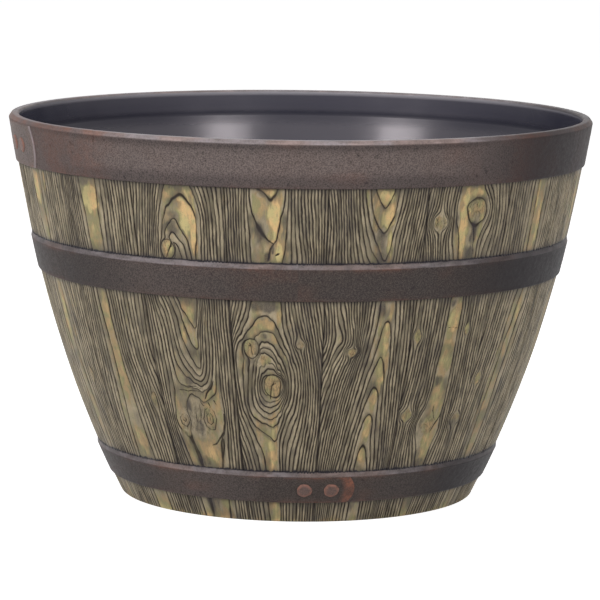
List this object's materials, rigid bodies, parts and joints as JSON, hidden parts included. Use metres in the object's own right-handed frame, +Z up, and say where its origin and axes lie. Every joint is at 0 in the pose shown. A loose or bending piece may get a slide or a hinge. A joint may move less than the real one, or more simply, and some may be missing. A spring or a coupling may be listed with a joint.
{
  "type": "barrel planter",
  "caption": "Round half-barrel planter moulded with stave and hoop relief, open at the top, with lift-out drain plugs in its floor.",
  "frame": {"origin": "on the ground, under the middle of the foot", "axes": "+Z up through the mouth; -Y is the side that the picture shows"},
  "size_m": [0.5196, 0.5198, 0.339],
  "materials": {
    "shell": "embossed and painted to look like weathered oak staves and dark iron hoops; plain dark satin inside",
    "plug": "soft dark plastic, satin"
  },
  "bodies": {
    "planter": {"planter_shell": "shell"},
    "plug_1": {"drain_plug_1": "plug"},
    "plug_2": {"drain_plug_2": "plug"},
    "plug_3": {"drain_plug_3": "plug"},
    "plug_4": {"drain_plug_4": "plug"}
  },
  "joints": [
    {"name": "plug_1_pull", "type": "slide", "parent": "planter", "child": "plug_1", "axis": [0, 0, 1], "range_m": [0, 0.05]},
    {"name": "plug_2_pull", "type": "slide", "parent": "planter", "child": "plug_2", "axis": [0, 0, 1], "range_m": [0, 0.05]},
    {"name": "plug_3_pull", "type": "slide", "parent": "planter", "child": "plug_3", "axis": [0, 0, 1], "range_m": [0, 0.05]},
    {"name": "plug_4_pull", "type": "slide", "parent": "planter", "child": "plug_4", "axis": [0, 0, 1], "range_m": [0, 0.05]}
  ]
}
